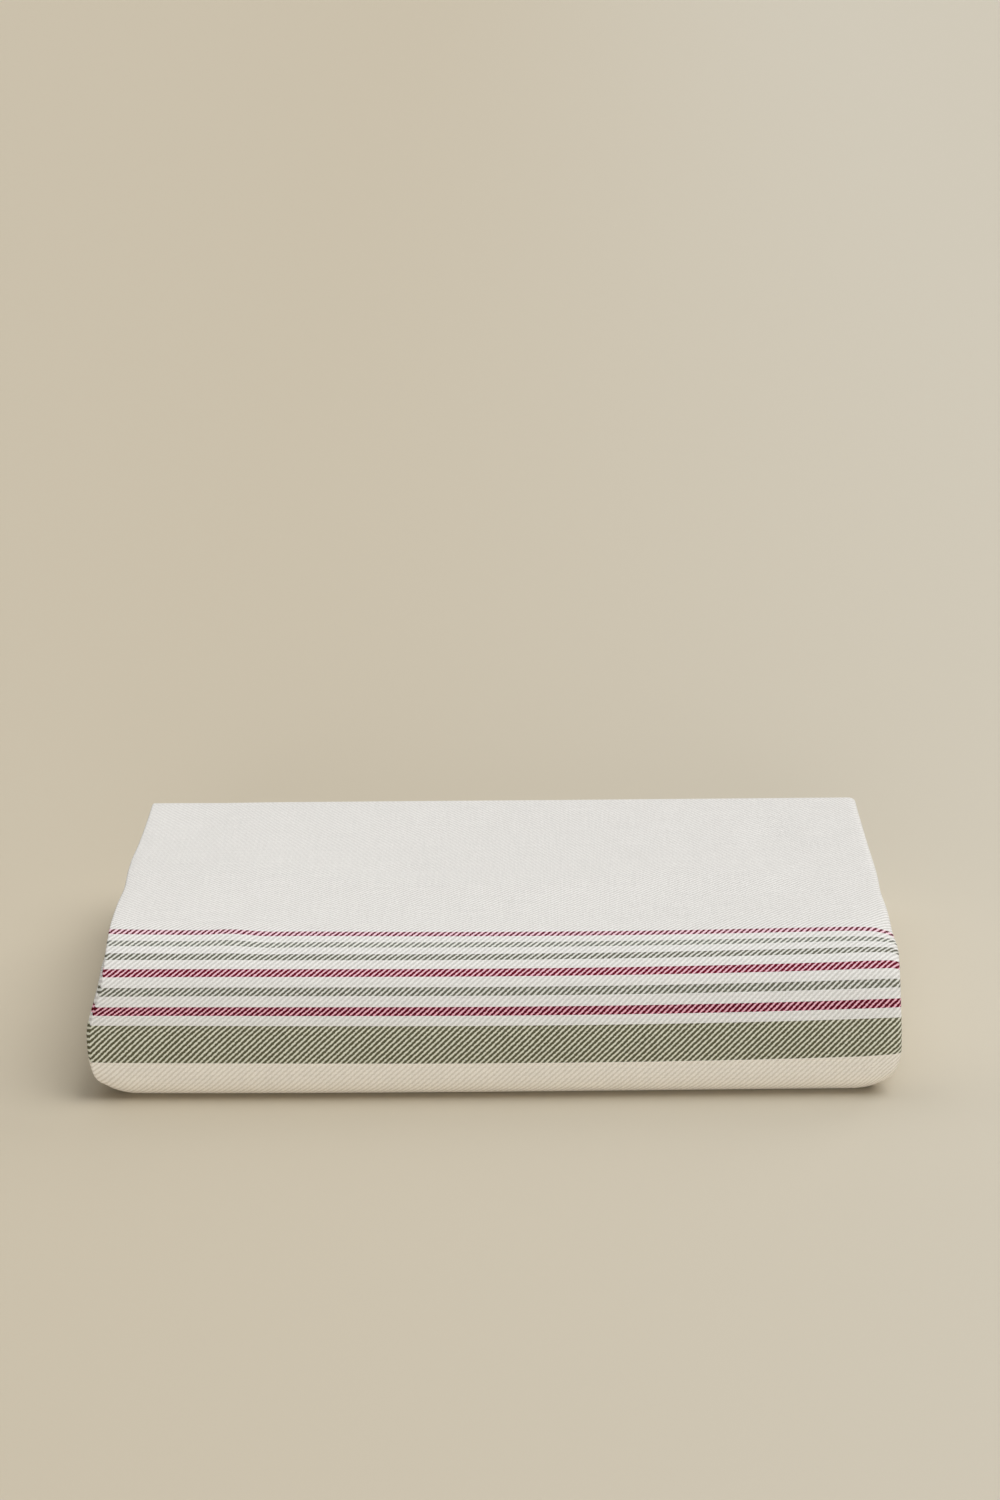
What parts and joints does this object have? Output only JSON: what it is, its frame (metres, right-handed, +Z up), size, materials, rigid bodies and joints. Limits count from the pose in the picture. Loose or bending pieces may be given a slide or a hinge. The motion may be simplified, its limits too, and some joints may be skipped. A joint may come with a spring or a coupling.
{
  "type": "folded tablecloth",
  "caption": "Striped cotton twill tablecloth folded into a thick soft pad, its border stripes and natural end band rounding the front fold.",
  "frame": {"origin": "middle of the underside of the folded cloth", "axes": "+X along the front fold to the right, +Y from the front fold to the back folds, +Z up"},
  "size_m": [0.3746, 0.2426, 0.0683],
  "materials": {
    "cloth": "matt cotton twill, off-white with thin burgundy and sage stripes, a wide sage band and a natural end band"
  },
  "bodies": {
    "root": {"tablecloth": "cloth"}
  },
  "joints": []
}
